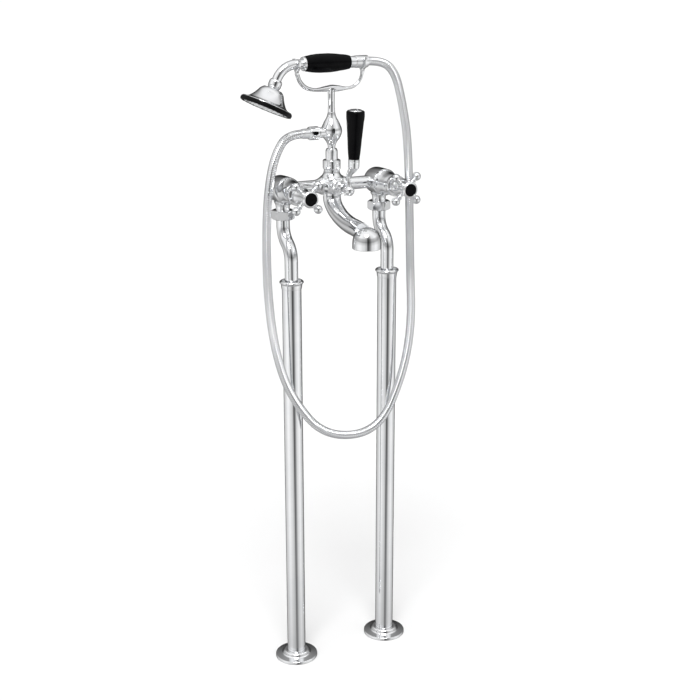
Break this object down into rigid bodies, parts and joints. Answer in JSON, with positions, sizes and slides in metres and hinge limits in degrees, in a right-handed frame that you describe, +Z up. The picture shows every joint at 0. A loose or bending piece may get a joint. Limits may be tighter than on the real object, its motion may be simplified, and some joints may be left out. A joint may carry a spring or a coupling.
{
  "type": "floor standing bath filler",
  "caption": "Floor standing bath and shower filler: two legs, cross handles, lever diverter, curved spout, forked cradle with handset and ribbed hose.",
  "frame": {"origin": "on the floor midway between the two legs", "axes": "+X towards the cold side, -Y the side that faces the bath, +Z up"},
  "size_m": [0.3026, 0.1896, 1.0544],
  "materials": {
    "chrome": "polished",
    "black_ceramic": "glazed",
    "brass": "machined",
    "nylon": "moulded",
    "fibre": "flat",
    "black_rubber": "satin",
    "spray_plastic": "satin",
    "hose_metal": "ribbed"
  },
  "bodies": {
    "stand": {"hot_base_plate": "brass", "hot_floor_flange": "chrome", "hot_shroud": "chrome", "hot_shroud_collar": "chrome", "hot_centring_bush": "nylon", "hot_supply_pipe": "chrome", "hot_union_nut": "chrome", "hot_union_washer": "fibre", "hot_valve_body": "chrome", "hot_bridge_arm": "chrome", "hot_bonnet": "chrome", "hot_cartridge": "brass", "cold_base_plate": "brass", "cold_floor_flange": "chrome", "cold_shroud": "chrome", "cold_shroud_collar": "chrome", "cold_centring_bush": "nylon", "cold_supply_pipe": "chrome", "cold_union_nut": "chrome", "cold_union_washer": "fibre", "cold_valve_body": "chrome", "cold_bridge_arm": "chrome", "cold_bonnet": "chrome", "cold_cartridge": "brass", "centre_body": "chrome", "diverter_bonnet": "chrome", "spout": "chrome", "spout_aerator": "nylon", "riser_socket": "chrome", "riser_grub_screws": "chrome", "riser_stem": "chrome", "riser_vase": "chrome", "cradle": "chrome", "hose_outlet": "chrome", "shower_hose": "hose_metal", "hose_outlet_nut": "chrome"},
    "hot_handle": {"hot_spindle": "brass", "hot_handle": "chrome", "hot_index": "black_ceramic"},
    "cold_handle": {"cold_spindle": "brass", "cold_handle": "chrome", "cold_index": "black_ceramic"},
    "lever": {"diverter_spindle": "chrome", "diverter_lever": "chrome", "lever_ferrule": "chrome", "lever_grip": "black_ceramic", "lever_cap": "chrome"},
    "handset": {"rose_shell": "chrome", "rose_ring": "black_rubber", "spray_plate": "spray_plastic", "rose_knuckle": "chrome", "handset_neck": "chrome", "front_ferrule": "chrome", "handset_grip": "black_ceramic", "rear_ferrule": "chrome", "handset_tail": "brass", "handset_tube": "brass", "hose_handset_nut": "chrome"}
  },
  "joints": [
    {"name": "hot_handle_turn", "type": "hinge", "parent": "stand", "child": "hot_handle", "pos_m": [-0.09, -0.0615, 0.8405], "axis": [0, -1, 0], "range_deg": [0, 90]},
    {"name": "cold_handle_turn", "type": "hinge", "parent": "stand", "child": "cold_handle", "pos_m": [0.09, -0.0615, 0.8405], "axis": [0, -1, 0], "range_deg": [-90, 0]},
    {"name": "lever_turn", "type": "hinge", "parent": "stand", "child": "lever", "pos_m": [0, -0.033, 0.8405], "axis": [0, -1, 0], "range_deg": [-45, 45]},
    {"name": "handset_lift", "type": "slide", "parent": "stand", "child": "handset", "axis": [0, 0, 1], "range_m": [0, 0.06]}
  ]
}
